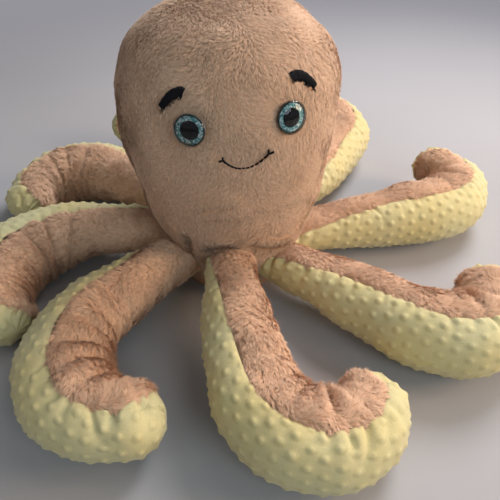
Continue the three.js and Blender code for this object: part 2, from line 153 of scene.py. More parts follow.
def grid_faces(rows, columns, round_columns=False):
    """Quads between neighbouring points of a grid, whose columns may close on themselves."""
    row, column = np.mgrid[: rows - 1, : columns - (not round_columns)]
    after = (column + 1) % columns
    here, below = row * columns, (row + 1) * columns
    quads = np.stack([here + column, here + after, below + after, below + column], -1)
    return quads.reshape(-1, 4)


def keep(piece, name, values):
    """A number at each point, for the piece's material to read."""
    layer = piece.data.attributes.new(name, "FLOAT", "POINT")
    layer.data.foreach_set("value", np.asarray(values, np.float32).ravel())


def size_of(vectors):
    return np.linalg.norm(vectors, axis=-1)


def unit(vectors):
    return vectors / np.maximum(size_of(vectors)[..., None], 1e-9)


def grid_normals(grid):
    """Outward normals of a grid whose rows run along and whose columns run round."""
    along, around = np.gradient(grid, axis=(0, 1))
    return unit(np.cross(around, along))


def waves(points, size, seed, count=14):
    """Smooth random swells about this long, with a spread of one."""
    rng = np.random.default_rng(seed)
    ways = unit(rng.normal(size=(count, 3))) * tau / (size * rng.uniform(0.7, 1.5, (count, 1)))
    phases = rng.uniform(0, tau, count)
    return np.sin(points @ ways.T + phases).sum(-1) * sqrt(2 / count)


def smooth(value, low, high):
    share = np.clip((value - low) / (high - low), 0, 1)
    return share * share * (3 - 2 * share)


# Materials


def linear(*colour):
    """A colour given as it shows on a screen, 0 to 255."""
    shares = (c / 255 for c in colour)
    return *(c / 12.92 if c <= 0.04045 else ((c + 0.055) / 1.055) ** 2.4 for c in shares), 1.0


def grey(value):
    return (value, value, value, 1.0)


WHITE = grey(1.0)


class Nodes:
    """The shader nodes of a new material or world."""

    def __init__(self, holder):
        holder.use_nodes = True
        self.holder, self.tree = holder, holder.node_tree
        self.tree.nodes.clear()

    def add(self, kind, inputs, **settings):
        """A node whose inputs are linked to nodes and outputs or set to plain values."""
        node = self.tree.nodes.new("ShaderNode" + kind)
        for name, value in settings.items():
            setattr(node, name, value)
        for socket, value in inputs.items():
            if isinstance(value, bpy.types.Node):
                value = value.outputs[0]
            if isinstance(value, bpy.types.NodeSocket):
                self.tree.links.new(value, node.inputs[socket])
            else:
                node.inputs[socket].default_value = value
        return node

    def texture(self, kind, inputs, **settings):
        place = self.add("TexCoord", {}).outputs["Object"]
        return self.add(kind, {**inputs, "Vector": place}, **settings).outputs

    def noise(self, scale, detail, roughness=0.5, distortion=0.0):
        inputs = {"Scale": scale, "Detail": detail}
        inputs |= {"Roughness": roughness, "Distortion": distortion}
        return self.texture("TexNoise", inputs)["Fac"]

    def read(self, name):
        """A number that keep() has put on the piece's points."""
        return self.add("Attribute", {}, attribute_name=name).outputs["Fac"]

    def ramp(self, value, *stops):
        node = self.add("ValToRGB", {"Fac": value})
        stones = node.color_ramp.elements
        while len(stones) < len(stops):
            stones.new(0.5)
        for stone, (place, colour) in zip(stones, stops, strict=True):
            stone.position = place
            stone.color = colour
        return node.outputs["Color"]

    def mix(self, share, one, other, kind="MIX"):
        inputs = {0: share, 6: one, 7: other}
        return self.add("Mix", inputs, data_type="RGBA", blend_type=kind).outputs[2]

    def times(self, colour, *others):
        """Colours multiplied by each other."""
        for other in others:
            colour = self.mix(1.0, colour, other, "MULTIPLY")
        return colour

    def shader(self, colour, roughness, shine=0.5, sheen=0.0, spread=0.5, metal=0.0, bump=None):
        """A surface. Its bump is a height, a strength and a distance in metres."""
        inputs = {"Base Color": colour, "Roughness": roughness, "Metallic": metal}
        inputs |= {"Specular IOR Level": shine, "Sheen Weight": sheen, "Sheen Roughness": spread}
        if bump:
            names = "Height", "Strength", "Distance"
            inputs["Normal"] = self.add("Bump", dict(zip(names, bump, strict=True)))
        return self.add("BsdfPrincipled", inputs)

    def show(self, shader, output="OutputMaterial"):
        self.add(output, {"Surface": shader})
        return self.holder

    def blend(self, share, one, other, output="OutputMaterial"):
        """Shows the first shader, and the other one where the share is 1."""
        return self.show(self.add("MixShader", {0: share, 1: one, 2: other}), output)


def paint(name):
    """The nodes of a new material, to be filled in."""
    return Nodes(bpy.data.materials.new(name))


# Painted shade for pile and backing deep in a fold, the tint of the fur's random patches, and
# painted shade round the foot of a dot
PILE_SHADE = (0.32, 0.33, 0.36, 1.0)
BACKING_SHADE = (0.24, 0.22, 0.22, 1.0)
FUR_TINT = (0.95, 0.92, 0.9, 1.0)
DOT_FOOT_SHADE = (0.93, 0.92, 0.88, 1.0)


def fur_material(name, deep, light, darkest):
    """Pile: deeper at the root and pale at the tip, each tuft in its own tone, with painted shade
    on the strands deep in a fold.
    """
    nodes = paint(name)
    along = nodes.ramp(nodes.read("tip"), (0.0, deep), (0.7, light))
    # below 0.25 the tone carries painted shade from the folds, down to PILE_SHADE
    stops = (0.0, PILE_SHADE), (0.25, grey(darkest)), (1.0, WHITE)
    tuft = nodes.ramp(nodes.read("tone"), *stops)
    patches = nodes.ramp(nodes.noise(13, 3), (0.36, WHITE), (0.66, FUR_TINT))
    return nodes.show(nodes.shader(nodes.times(along, tuft, patches), 0.9, 0.2, 0.12))


def backing_material():
    """The knitted back of the fur, seen only between the tufts, with painted shade in the head's
    folds.
    """
    nodes = paint("fur_backing")
    fuzz = nodes.noise(700, 3, 0.6)
    knit = nodes.ramp(fuzz, (0.3, grey(0.75)), (0.7, WHITE))
    # painted shade: darkened towards BACKING_SHADE where the sunk attribute marks a fold
    sunk = nodes.ramp(nodes.read("sunk"), (0.0, WHITE), (0.6, BACKING_SHADE))
    colour = nodes.times(linear(220, 174, 138), knit, sunk)
    return nodes.show(nodes.shader(colour, 1.0, 0.1, bump=(fuzz, 0.6, 0.0008)))


def dotted_material():
    """Short-napped yellow cloth, with a faint painted highlight on the tops of its raised dots and
    painted shade round their feet.
    """
    nodes = paint("dotted_cloth")
    yellow = (0.35, linear(207, 200, 154)), (0.65, linear(214, 198, 141))
    # painted shade round each dot's foot, and a faint painted highlight on its top
    stops = (0.0, grey(0.98)), (0.1, DOT_FOOT_SHADE), (0.4, grey(0.98)), (1.0, WHITE)
    raised = nodes.ramp(nodes.read("dot"), *stops)
    nap = nodes.noise(1300, 4, 0.65)
    lint = nodes.ramp(nap, (0.3, grey(0.84)), (0.62, WHITE))
    colour = nodes.times(nodes.ramp(nodes.noise(14, 3), *yellow), raised, lint)
    return nodes.show(nodes.shader(colour, 0.78, 0.3, 0.2, 0.4, bump=(nap, 0.5, 0.0008)))


def filling_material():
    """Loose polyester fibre."""
    nodes = paint("fibre_filling")
    fluff = nodes.noise(260, 5, 0.7, 1.5)
    white = nodes.ramp(fluff, (0.3, linear(205, 203, 196)), (0.7, linear(244, 243, 238)))
    return nodes.show(nodes.shader(white, 1.0, bump=(fluff, 0.8, 0.003)))


def woven_material():
    """The base panel's plain weave, with threads both ways."""
    nodes = paint("base_cloth")
    threads = (
        nodes.texture("TexWave", {"Scale": 260, "Distortion": 0.6}, bands_direction=way)["Fac"]
        for way in ("X", "Y")
    )
    weave = nodes.mix(0.5, *threads)
    shade = nodes.ramp(weave, (0.15, grey(0.62)), (0.8, WHITE))
    stain = nodes.ramp(nodes.noise(30, 3), (0.3, grey(0.86)), (0.7, WHITE))
    colour = nodes.times(linear(186, 142, 118), shade, stain)
    return nodes.show(nodes.shader(colour, 0.95, bump=(weave, 0.6, 0.0006)))


def thread_material():
    """Black embroidery thread: a faint twist and a soft shine."""
    nodes = paint("black_thread")
    twist = nodes.noise(1800, 3, 0.6)
    black = nodes.ramp(twist, (0.3, linear(10, 10, 13)), (0.75, linear(30, 30, 36)))
    return nodes.show(nodes.shader(black, 0.8, 0.15, bump=(twist, 0.4, 0.0003)))


head_fur = fur_material("head_fur", linear(200, 158, 128), linear(238, 204, 174), 0.7)
long_fur = fur_material("long_fur", linear(220, 170, 132), linear(242, 204, 172), 0.75)
backing = backing_material()
dotted = dotted_material()
fibre = filling_material()
black_thread = thread_material()


# Pile


def scatter(grid, density, rng):
    """Random places on a grid of points, so many to a square millimetre, as rows and columns."""
    sides = np.diff(grid, axis=0)[:, :-1], np.diff(grid, axis=1)[:-1]
    area = size_of(np.cross(*sides)).ravel()
    total = np.cumsum(area)
    count = int(total[-1] * density)
    picks = (np.arange(count) + rng.random(count)) * total[-1] / count
    cell = np.minimum(np.searchsorted(total, picks), len(area) - 1)
    row, column = np.divmod(cell, grid.shape[1] - 1)
    return row + rng.random(count), column + rng.random(count)


def between(grid, rows, columns):
    """The grid's values at places between its points."""
    row = np.minimum(rows.astype(int), grid.shape[0] - 2)
    column = np.minimum(columns.astype(int), grid.shape[1] - 2)
    down, across = (rows - row)[:, None], (columns - column)[:, None]
    upper = grid[row, column] * (1 - across) + grid[row, column + 1] * across
    lower = grid[row + 1, column] * (1 - across) + grid[row + 1, column + 1] * across
    return upper * (1 - down) + lower * down


def kd_tree(points):
    tree = KDTree(len(points))
    for index, point in enumerate(points):
        tree.insert(point, index)
    tree.balance()
    return tree


def turned(flow, normal, angle):
    """Directions in the surface, turned about its normal by angles in radians."""
    side = np.cross(normal, flow)
    return np.cos(angle)[:, None] * flow + np.sin(angle)[:, None] * side


# Pile: strands to a square millimetre and to a tuft; degrees by which tufts and strands turn
# aside and stand up; a strand's length and width; how far the strands of a tuft lean together
Pile = namedtuple("Pile", "density to_a_tuft spread stray lift length width clump")
HEAD_PILE = Pile(2.3, 4, 17, 13, 13, 5.4, 0.6, 0.45)
LONG_PILE = Pile(2.3, 9, 26, 10, 16, 8.0, 0.6, 0.66)
# How deep in the cover a strand starts, degrees its halves are bent up, its middle's width as a
# share, and how near it comes to the floor
STRAND_SINK = 0.4
LOWER_BEND, UPPER_BEND = 8, -12
STRAND_WAIST = 0.8
STRAND_LOWEST = 0.2


def add_pile(name, places, normals, flow, swirl, grown, shade, kind, material, body, seed):
    """Strands that lie in small tufts: each a flat ribbon of three faces that bows over. Those
    deep in a fold get painted shade in their tone."""
    rng = np.random.default_rng(seed)
    count = len(places)
    centres = rng.choice(count, max(8, int(count / kind.to_a_tuft)), replace=False)
    tree = kd_tree(places[centres])
    tuft = np.fromiter((tree.find(place)[1] for place in places), int, count)

    def by_tuft():
        return rng.normal(size=len(centres))[tuft]

    lone = rng.normal(size=count)
    angle = swirl + radians(kind.spread) * by_tuft()
    angle = angle + radians(kind.stray) * lone
    flat = turned(flow, normals, angle)
    rise = radians(kind.lift) * (1 + 0.3 * by_tuft())
    rise = np.clip(rise + radians(4) * rng.normal(size=count), radians(3), radians(50))
    length = kind.length * grown * rng.uniform(0.75, 1.2, count)
    length = length * rng.uniform(0.85, 1.15, len(centres))[tuft]
    pull = (places[centres][tuft] - places) * kind.clump

    def half(bend):
        up = np.clip(rise + radians(bend), radians(-8), radians(85))[:, None]
        return (np.cos(up) * flat + np.sin(up) * normals) * (length * 0.5)[:, None]

    root = places - STRAND_SINK * normals
    middle = root + half(LOWER_BEND) + 0.4 * pull
    tip = middle + half(UPPER_BEND) + 0.6 * pull
    across = unit(np.cross(tip - root, normals))
    roll = rng.uniform(-0.4, 0.4, count)[:, None]
    across = unit(np.cos(roll) * across + np.sin(roll) * np.cross(unit(tip - root), across))
    wide = across * (kind.width / 2 * rng.uniform(0.75, 1.25, count))[:, None]
    waist = STRAND_WAIST * wide
    points = np.stack([root - wide, root + wide, middle + waist, middle - waist, tip], 1)
    points[..., 2] = np.maximum(points[..., 2], STRAND_LOWEST)
    start = 5 * np.arange(count)[:, None]
    faces = (start[:, :, None] + np.array([[0, 1, 2], [0, 2, 3], [3, 2, 4]])).reshape(-1, 3)
    pile = add_mesh(name, points, faces, material, body)
    keep(pile, "tip", np.tile([0, 0, 0.55, 0.55, 1], count))
    tone = 0.55 + 0.2 * by_tuft() + 0.16 * rng.normal(size=count)
    # subtracting the shade paints the strands in a fold darker: painted shade
    tone = 0.25 + 0.75 * np.clip(tone, 0, 1) - shade
    keep(pile, "tone", np.repeat(np.clip(tone, 0, 1), 5))
    own = unit(np.cross(across, unit(tip - root)))
    own = own * np.sign((own * normals).sum(-1, keepdims=True))
    soft = unit(0.7 * own + 0.3 * normals)
    layer = pile.data.attributes.new("custom_normal", "FLOAT_VECTOR", "POINT")
    layer.data.foreach_set("vector", np.repeat(soft, 5, 0).astype(np.float32).ravel())
    lay_out(pile, count)


def lay_out(pile, count):
    """A UV map on which every strand has a cell of its own."""
    side = int(np.ceil(sqrt(count)))
    cell = np.stack(np.divmod(np.arange(count), side)[::-1], -1)[:, None]
    shape = np.array([[0.1, 0.1], [0.9, 0.1], [0.85, 0.55], [0.15, 0.55], [0.5, 0.95]])
    spots = (cell + shape) / side
    corners = np.array([0, 1, 2, 0, 2, 3, 3, 2, 4])
    layer = pile.data.uv_layers.new(name="OFBake")
    layer.uv.foreach_set("vector", spots[:, corners].astype(np.float32).ravel())


# Head


def head_profile(cheek_steps, crown_steps):
    """The outline as radii and heights, from the floor up: a straight band, the curve of the
    cheek, whose control point lies in line with the band, and the crown."""
    seam_radius = HEAD_BASE_RADIUS + SEAM_BAND_SHARE * SEAM_HEIGHT
    elbow = SEAM_HEIGHT + (HEAD_RADIUS - seam_radius) / SEAM_BAND_SHARE
    t = np.linspace(0, 1, cheek_steps + 1)
    cheek_radius = (1 - t) ** 2 * seam_radius + (1 - (1 - t) ** 2) * HEAD_RADIUS
    cheek_height = bezier((SEAM_HEIGHT, elbow, CHEEK_HEIGHT), t)
    rise = np.sin(pi / 2 * np.arange(1, crown_steps + 1) / crown_steps)
    crown_radius = HEAD_RADIUS * np.sqrt(1 - np.minimum(1, rise**CROWN_POWER))
    crown_height = CHEEK_HEIGHT + (HEAD_HEIGHT - CHEEK_HEIGHT) * rise
    radius = np.concatenate([[HEAD_BASE_RADIUS], cheek_radius, crown_radius])
    height = np.concatenate([[0], cheek_height, crown_height])
    return radius, height


def bezier(places, share):
    a, b, c = places
    return (1 - share) ** 2 * a + 2 * share * (1 - share) * b + share**2 * c


CAD_RADII, CAD_HEIGHTS = head_profile(5, 6)
FINE_RADII, FINE_HEIGHTS = head_profile(120, 160)


def head_radius(height):
    return np.interp(height, FINE_HEIGHTS, FINE_RADII)


def head_point(turn, height, lift=0.0):
    """A point where the CAD puts what sits on the face: on its facets, lifted along the slope
    that the outline has over 28 mm."""
    facet = tau / HEAD_SIDES
    azimuth = radians(turn - 90)
    off_middle = azimuth - (np.floor(azimuth / facet) + 0.5) * facet
    at = np.interp([height, height - 14, height + 14], CAD_HEIGHTS, CAD_RADII)
    radius = at[0] * cos(facet / 2) / cos(off_middle)
    lean = np.arctan2(at[1] - at[2], 28)
    out = radius + lift * np.cos(lean)
    return np.array([out * cos(azimuth), out * sin(azimuth), height + lift * np.sin(lean)])


def head_surface(along, azimuth, depth):
    """Points of the head at a share of its outline's length and an azimuth in radians."""
    steps = np.hypot(np.diff(FINE_RADII), np.diff(FINE_HEIGHTS))
    reach = np.concatenate([[0], np.cumsum(steps)]) / steps.sum()
    outward, upward = np.gradient(FINE_RADII), np.gradient(FINE_HEIGHTS)
    size = np.hypot(outward, upward)
    out = np.interp(along, reach, upward / size)
    up = -np.interp(along, reach, outward / size)
    radius = np.maximum(0, np.interp(along, reach, FINE_RADII) - depth * out)
    height = np.maximum(0, np.interp(along, reach, FINE_HEIGHTS) - depth * up)
    return np.stack([radius * np.cos(azimuth), radius * np.sin(azimuth), height], -1)


# The face, as degrees round the head from its middle and shares of its height; the ends of the
# smile have hooks, each so far sideways and up in millimetres
EYES = {"right": (-13.7, 0.7535), "left": (30.5, 0.77)}
BROWS = {
    "right": ([-27, -20.6, -16.7], [0.803, 0.853, 0.845]),
    "left": ([33.4, 40.2, 45.3], [0.864, 0.875, 0.832]),
}
MOUTH = ([0, 8, 19.7], [0.672, 0.607, 0.679])
MOUTH_HOOKS = ((0, ((-3.8, -1.2), (-0.4, 3.2))), (2, ((-0.2, 4.4), (5.0, 1.6))))
FACE_LIFT = 0.8
EYE_RADIUS, IRIS_RADIUS, PUPIL_RADIUS = 14.0, 13.0, 8.2
BROW_WIDTH = 7.8
# Folds where the head draws in above the roots: turns, shares of the height, depth and width
HEAD_FOLDS = (
    ((-14, -5, 4), (0.472, 0.49, 0.496), 1.4, 3.0),
    ((-11, 0, 12), (0.442, 0.434, 0.448), 1.5, 3.0),
    ((14, 32, 56), (0.436, 0.47, 0.417), 1.8, 3.6),
    ((17, 28, 44), (0.3, 0.262, 0.246), 8.0, 3.4),
    ((-17, -6, 6), (0.285, 0.325, 0.29), 5.0, 3.6),
    ((-26, -30, -40), (0.34, 0.26, 0.1), 3.5, 4.0),
    ((60, 68, 74), (0.25, 0.32, 0.37), 7.0, 3.6),
)


def face_line(line, share, lift=0.0):
    turns, heights = line
    return head_point(bezier(turns, share), bezier(heights, share) * HEAD_HEIGHT, lift)


def polyline(line, count, lift=0.0):
    return np.array([face_line(line, share, lift) for share in np.linspace(0, 1, count)])


def distance_to(places, line):
    gaps = [size_of(places - point) for point in line]
    return np.min(gaps, axis=0)


eye_seats = {
    side: head_point(turn, share * HEAD_HEIGHT, FACE_LIFT) for side, (turn, share) in EYES.items()
}
brow_lines = {side: polyline(line, 25) for side, line in BROWS.items()}
mouth_line = polyline(MOUTH, 40)

HEAD_ROWS, HEAD_COLUMNS = 190, 360
# How far the stuffing pushes the head out at one side and at the crown, and where
SIDE_SWELL, SIDE_MIDDLE, SIDE_REACH = 5.6, (62, -3, 284), (66, 80, 52)
CROWN_SWELL, CROWN_REACH, CROWN_FROM, CROWN_TO = 9.0, 55, 240, 290
# How deep and wide the dents of eyes and mouth are, and the lip above the mouth
EYE_DENT, EYE_DENT_RADIUS = 1.6, 19
MOUTH_DENT, MOUTH_DENT_WIDTH = 1.1, 5
LIP, LIP_WIDTH, LIP_DROP = 1.0, 4, 8


def bell(off):
    """1 in the middle and 0 far away."""
    return np.exp(-(off**2))


def folds(points, widen=1.0):
    """The depth of each fold of the head, and how far off it points lie, in its widths."""
    for turns, heights, deep, wide in HEAD_FOLDS:
        yield deep, distance_to(points, polyline((turns, heights), 14)) / (widen * wide)


def head_relief(points):
    """Swells of the stuffing and dents where eyes, brows and mouth are sewn down."""
    swell = 1.3 * waves(points, 110, 3) + 0.6 * waves(points, 42, 4)
    swell += SIDE_SWELL * bell(size_of((points - SIDE_MIDDLE) / SIDE_REACH))
    crown = np.hypot(points[..., 0], points[..., 1]) / CROWN_REACH
    swell += CROWN_SWELL * bell(crown) * smooth(points[..., 2], CROWN_FROM, CROWN_TO)
    for seat in eye_seats.values():
        off = size_of(points - seat) / EYE_DENT_RADIUS
        swell -= EYE_DENT * np.exp(-(off**4))
    mouth = mouth_line[::3]
    swell -= MOUTH_DENT * bell(distance_to(points, mouth) / MOUTH_DENT_WIDTH)
    swell += LIP * bell(distance_to(points, mouth - [0, 0, LIP_DROP]) / LIP_WIDTH)
    for deep, off in folds(points):
        swell -= deep * (bell(off) - 0.3 * bell((off - 2.3) / 1.2))
    return swell


def head_shade(points):
    """How much painted shade each point gets from the folds, from 0 to 1; it spreads wider than the
    folds themselves.
    """
    shade = np.zeros(len(points))
    for deep, off in folds(points, 1.9):
        shade = np.maximum(shade, min(1, deep / 5) * bell(off))
    return shade


def head_grid(depth):
    """The swollen head at a depth below the fur's surface, as a grid, and its normals."""
    shares, turns = np.linspace(0, 1, HEAD_ROWS), np.linspace(0, tau, HEAD_COLUMNS + 1)
    along, azimuth = np.meshgrid(shares, turns, indexing="ij")
    points = head_surface(along, azimuth, depth)
    flat = points.reshape(-1, 3)
    swell = head_relief(flat).reshape(along.shape)
    settled = smooth(points[..., 2], 0, 30) * (1 - smooth(along, 0.93, 1.0))
    normals = grid_normals(points)
    normals[-1] = (0, 0, 1)
    return points + normals * (swell * settled)[..., None], normals


def head_flow(points, normals):
    """The way the nap lies on the head, which is down, and how far it swirls aside."""
    down = np.array([0, 0, -1.0]) - normals * (normals @ np.array([0, 0, -1.0]))[:, None]
    sideways = unit(np.cross(np.broadcast_to([0.2, 0.1, 1.0], normals.shape), normals))
    flow = unit(down + 0.06 * sideways)
    swirl = 0.55 * waves(points, 95, 11) + 0.35 * waves(points, 34, 12)
    return flow, swirl


# Where the head's pile ends, how much longer it is low down, and in how many sectors it is made
PILE_FROM_MOUTH = 2.2
PILE_FROM_FLOOR = 22
LONGER_LOW, LONG_BELOW, SHORT_ABOVE = 0.5, 85, 135
HEAD_SECTORS = 6


def add_head():
    grid, normals = head_grid(FUR_DEPTH)
    half = HEAD_COLUMNS // 2
    for name, first in (("back", 0), ("front", half)):
        skin = grid[:, first : first + half + 1]
        faces = grid_faces(HEAD_ROWS, half + 1)
        node = f"head_cover_{name}"
        cover = add_mesh(f"head_skin_{name}", skin, faces, backing, stands_for=node)
        # painted shade for the folds, read by the backing's material
        keep(cover, "sunk", head_shade(skin.reshape(-1, 3)))
    rng = np.random.default_rng(21)
    rows, columns = scatter(grid, HEAD_PILE.density, rng)
    places, out = between(grid, rows, columns), unit(between(normals, rows, columns))
    clear = np.ones(len(places), bool)
    for seat in eye_seats.values():
        clear &= size_of(places - seat) > EYE_RADIUS + 0.2
    for line in brow_lines.values():
        clear &= distance_to(places, line) > BROW_WIDTH / 2 - 0.3
    clear &= distance_to(places, mouth_line) > PILE_FROM_MOUTH
    clear &= places[:, 2] > PILE_FROM_FLOOR
    places, out, columns = places[clear], out[clear], columns[clear]
    flow, swirl = head_flow(places, out)
    grown = 1.0 + LONGER_LOW * (1 - smooth(places[:, 2], LONG_BELOW, SHORT_ABOVE))
    # the last of these is painted shade for the strands in the folds
    everything = places, out, flow, swirl, grown, head_shade(places)
    sector = (columns / HEAD_COLUMNS * HEAD_SECTORS).astype(int) % HEAD_SECTORS
    for index in range(HEAD_SECTORS):
        mine = (values[sector == index] for values in everything)
        add_pile(f"head_pile_{index + 1}", *mine, HEAD_PILE, head_fur, "head", 30 + index)
    core, _ = head_grid(FILLING_DEPTH)
    faces = grid_faces(HEAD_ROWS // 2, half // 2, True)
    coarse = core[::2, :-1:4]
    filling = add_mesh("head_filling", coarse, faces, fibre, "head", "stuffing", "head_stuffing")


# Tentacles


def share_of(length):
    return np.clip(length / TENTACLE_LENGTH, 0, 1)


def half_width(share):
    """Half the width of a tentacle, over the fur."""
    rise = np.sin(pi / 2 * np.clip(share / BEND_PLACE, 0, 1)) ** CURL_POWER
    fall = 1 - np.cos(pi / 2 * np.clip((share - BEND_PLACE) / (1 - BEND_PLACE), 0, 1))
    swelling = ROOT_RADIUS + (BEND_RADIUS - ROOT_RADIUS) * rise
    return np.where(share < BEND_PLACE, swelling, BEND_RADIUS + (TIP_RADIUS - BEND_RADIUS) * fall)


def centre_height(lay, share):
    """How high the middle line runs: the root hangs off the floor and the tip may lift again."""
    root = lay.rise * np.exp(-((share / RISE_END) ** 2))
    up_tip = np.clip((share - TIP_RISE_START) / (1 - TIP_RISE_START), 0, 1)
    rise = (root + lay.tip_rise * up_tip**2) * BEND_RADIUS
    return half_width(share) / WIDTH_OVER_HEIGHT - RESTING_FLAT + rise


def fur_edges(lay, length):
    """Where the fur starts and stops round a tentacle, in degrees from its inner side."""
    twist = np.exp(-length / (TENTACLE_LENGTH * lay.fade))
    roll = lay.roll * np.sin(pi * share_of(length))
    over = (FUR_OVER + roll) * (1 - twist) + (FUR_OVER_AT_ROOT + lay.root_roll) * twist
    under = (roll - FUR_UNDER) * (1 - twist) + (lay.root_roll - FUR_UNDER_AT_ROOT) * twist
    closing = np.clip((length - TENTACLE_LENGTH + FUR_END_SETBACK) / FUR_END_LENGTH, 0, 1)
    half = (over - under) / 2 * np.sqrt(1 - closing**2)
    middle = (over + under) / 2
    return middle - half, middle + half


# How softly the floor flattens a tentacle, and how its root is drawn to the head and into it
FLOOR_SOFTNESS = 1.5
ROOT_REACH = 38
ROOT_TUCK = 3.0


class Tentacle:
    """The middle line of one tentacle and the points of its swollen, flattened tube."""

    steps = 1108

    def __init__(self, index):
        self.index = index
        self.name = f"tentacle_{index + 1}"
        self.lay = LAYS[index]
        self.ring = radians(RING_START + 360 / len(LAYS) * index)
        ways = self.heading((np.arange(self.steps) + 0.5) / self.steps)
        start = np.interp(centre_height(self.lay, 0.0), CAD_HEIGHTS, CAD_RADII)
        stride = TENTACLE_LENGTH * self.lay.length / self.steps
        line = np.cumsum(np.stack([np.cos(ways), np.sin(ways)], -1) * stride, 0)
        origin = start * np.array([cos(self.ring), sin(self.ring)])
        self.line = origin + np.concatenate([[[0, 0]], line])

    def heading(self, share):
        lay = self.lay
        curl = lay.curl * np.clip((share - lay.start) / (1 - lay.start), 0, 1) ** CURL_POWER
        return self.ring + np.radians(lay.root + lay.sweep * share + curl)

    def surface(self, length, angle, depth, tuck=ROOT_TUCK):
        """Points at lengths from the root and angles round the section, in degrees."""
        length, angle, depth = np.broadcast_arrays(length, angle, depth)
        share = share_of(length)
        beyond = np.maximum(0, length - TENTACLE_LENGTH)
        way = self.heading(share)
        forward = np.stack([np.cos(way), np.sin(way)], -1)
        marks = np.arange(self.steps + 1)
        middle = np.stack([np.interp(share * self.steps, marks, v) for v in self.line.T], -1)
        middle = middle + forward * beyond[..., None]
        close = np.sqrt(np.maximum(0, 1 - (beyond / TIP_RADIUS) ** 2))
        size = np.maximum(0, half_width(share) - depth) * close
        across = size * np.cos(np.radians(angle))
        up = size / WIDTH_OVER_HEIGHT * np.sin(np.radians(angle))
        height = centre_height(self.lay, share) + up
        rest = np.maximum(0, depth - RESTING_FLAT)
        lifted = height - rest
        height = rest + (lifted + np.sqrt(lifted**2 + FLOOR_SOFTNESS**2)) / 2
        left = np.stack([-np.sin(way), np.cos(way)], -1)
        flat = middle + left * across[..., None]
        slide = self.slide(flat, height, tuck) * np.clip(1 - length / ROOT_REACH, 0, 1)
        flat = flat + forward * slide[..., None]
        return np.concatenate([flat, height[..., None]], -1)

    def slide(self, flat, height, tuck):
        """How far along the heading a root point goes to meet the head."""
        way = self.heading(0.0)
        forward = np.array([cos(way), sin(way)])
        ahead = flat @ forward
        reach = head_radius(height) - tuck
        inside = np.maximum(0, ahead**2 - (flat**2).sum(-1) + reach**2)
        return -ahead + np.sqrt(inside)


def seam_place(lay, length, angle):
    """Distance to the seam, how far along it, and whether it is the upper one."""
    start, stop = fur_edges(lay, np.minimum(length, FUR_CLOSING))
    radius = half_width(share_of(length))
    middle, half = (start + stop) / 2, (stop - start) / 2
    off = (angle - middle + 180) % 360 - 180
    sideways = np.abs(np.abs(off) - half) * np.radians(radius)
    reach = np.sqrt(np.maximum(0, 1 - (off / half) ** 2))
    ahead = np.abs(length - FUR_CLOSING - FUR_END_LENGTH * reach)
    beyond, past_end = length > FUR_CLOSING, np.maximum(length - FUR_CLOSING, 0)
    distance = np.where(beyond & (np.abs(off) < half), np.minimum(sideways, ahead), sideways)
    past = np.hypot(past_end, np.maximum(0, np.abs(off) - half))
    distance = np.where(beyond & (np.abs(off) >= half), np.hypot(sideways, past * 0.4), distance)
    round_end = np.arctan2(past_end, np.abs(off) * np.radians(radius))
    along = np.where(beyond, FUR_CLOSING + 34 * round_end, length)
    return distance, along, off > 0


# Gathers along a seam: how far apart they start, and where they stop
GATHER_SPACING, SEAM_LENGTH = 14, 335


def valleys(along, distance, seed, spacing, reach, width, until):
    """Folds that start at a seam and fade away from it, each a little different."""
    rng = np.random.default_rng(seed)
    depth = np.zeros_like(along)
    place = rng.uniform(0, spacing)
    while place < until:
        lean, strength = rng.uniform(-0.35, 0.35), rng.uniform(0.35, 1.0)
        far, wide = rng.uniform(*reach), rng.uniform(*width)
        across = (along - place - lean * distance) / (wide * (0.7 + 0.5 * distance / far))
        depth += strength * np.exp(-(across**2)) * np.exp(-((distance / far) ** 2))
        place += spacing * rng.uniform(0.6, 1.45)
    return depth


def curl_strength(limb, length):
    """How tightly a tentacle bends at a length, from 0 to about 1."""
    share = share_of(length)
    bend = np.gradient(limb.heading(np.linspace(0, 1, 400))) * 399 / 2.6
    return np.interp(share, np.linspace(0, 1, 400), np.clip(bend, 0, 1.4))


def fur_relief(limb, length, angle, points):
    """Folds across the inner side, where it curls and at the creases, and gathers at the seams."""
    distance, along, _ = seam_place(limb.lay, length, angle)
    seed = 100 + 10 * limb.index
    swell = 1.1 * waves(points, 55, seed) - 2.6 * np.exp(-distance / 2.6)
    inner = 1 - smooth(angle, 35, 115)
    tight = curl_strength(limb, length)
    across = np.maximum(0, angle + 40) * 0.5
    curl_folds = valleys(length, across, seed + 1, 21, (40, 75), (2.4, 4.0), 285)
    swell -= 3.2 * curl_folds * tight * (0.25 + 0.75 * inner)
    for place, deep in CREASES.get(limb.index, ()):
        lean = 4 * np.sin(np.radians(1.7 * angle) + place)
        off = (length + lean - place) / (3.4 + 0.02 * np.abs(angle + 20))
        fold = np.exp(-np.abs(off) ** 1.6) - 0.35 * bell((np.abs(off) - 2.6) / 1.4)
        swell -= 4.4 * deep * fold * (1 - smooth(angle, 45, 118))
    gathers = valleys(along, distance, seed + 2, GATHER_SPACING, (8, 20), (2.0, 3.6), SEAM_LENGTH)
    swell -= 2.6 * gathers * smooth(length, 150, 250)
    return swell + 1.2 * tight * inner


def dot_relief(limb, length, angle, points):
    """Gathers that run in from both seams, deeper at the tip and at the root."""
    distance, along, upper = seam_place(limb.lay, length, angle)
    seed = 200 + 10 * limb.index
    swell = 0.8 * waves(points, 60, seed) - 2.4 * np.exp(-distance / 3.0)
    near_end = smooth(length, 165, 250)
    near_root = bell(length / 80)
    pull = 0.22 + 1.0 * near_end + ROOT_GATHERS[limb.index] * near_root
    for side, extra in ((True, 1), (False, 2)):
        spread = GATHER_SPACING, (16, 38), (2.2, 3.8), SEAM_LENGTH
        gathers = valleys(along, distance, seed + extra, *spread)
        swell = swell - np.where(upper == side, 4.8 * gathers * pull, 0)
    return swell


# The dotted cloth's middle, in degrees, and how many random places are tried for more dots
DOTTED_SIDE = 236
SPARE_PLACES = 4000


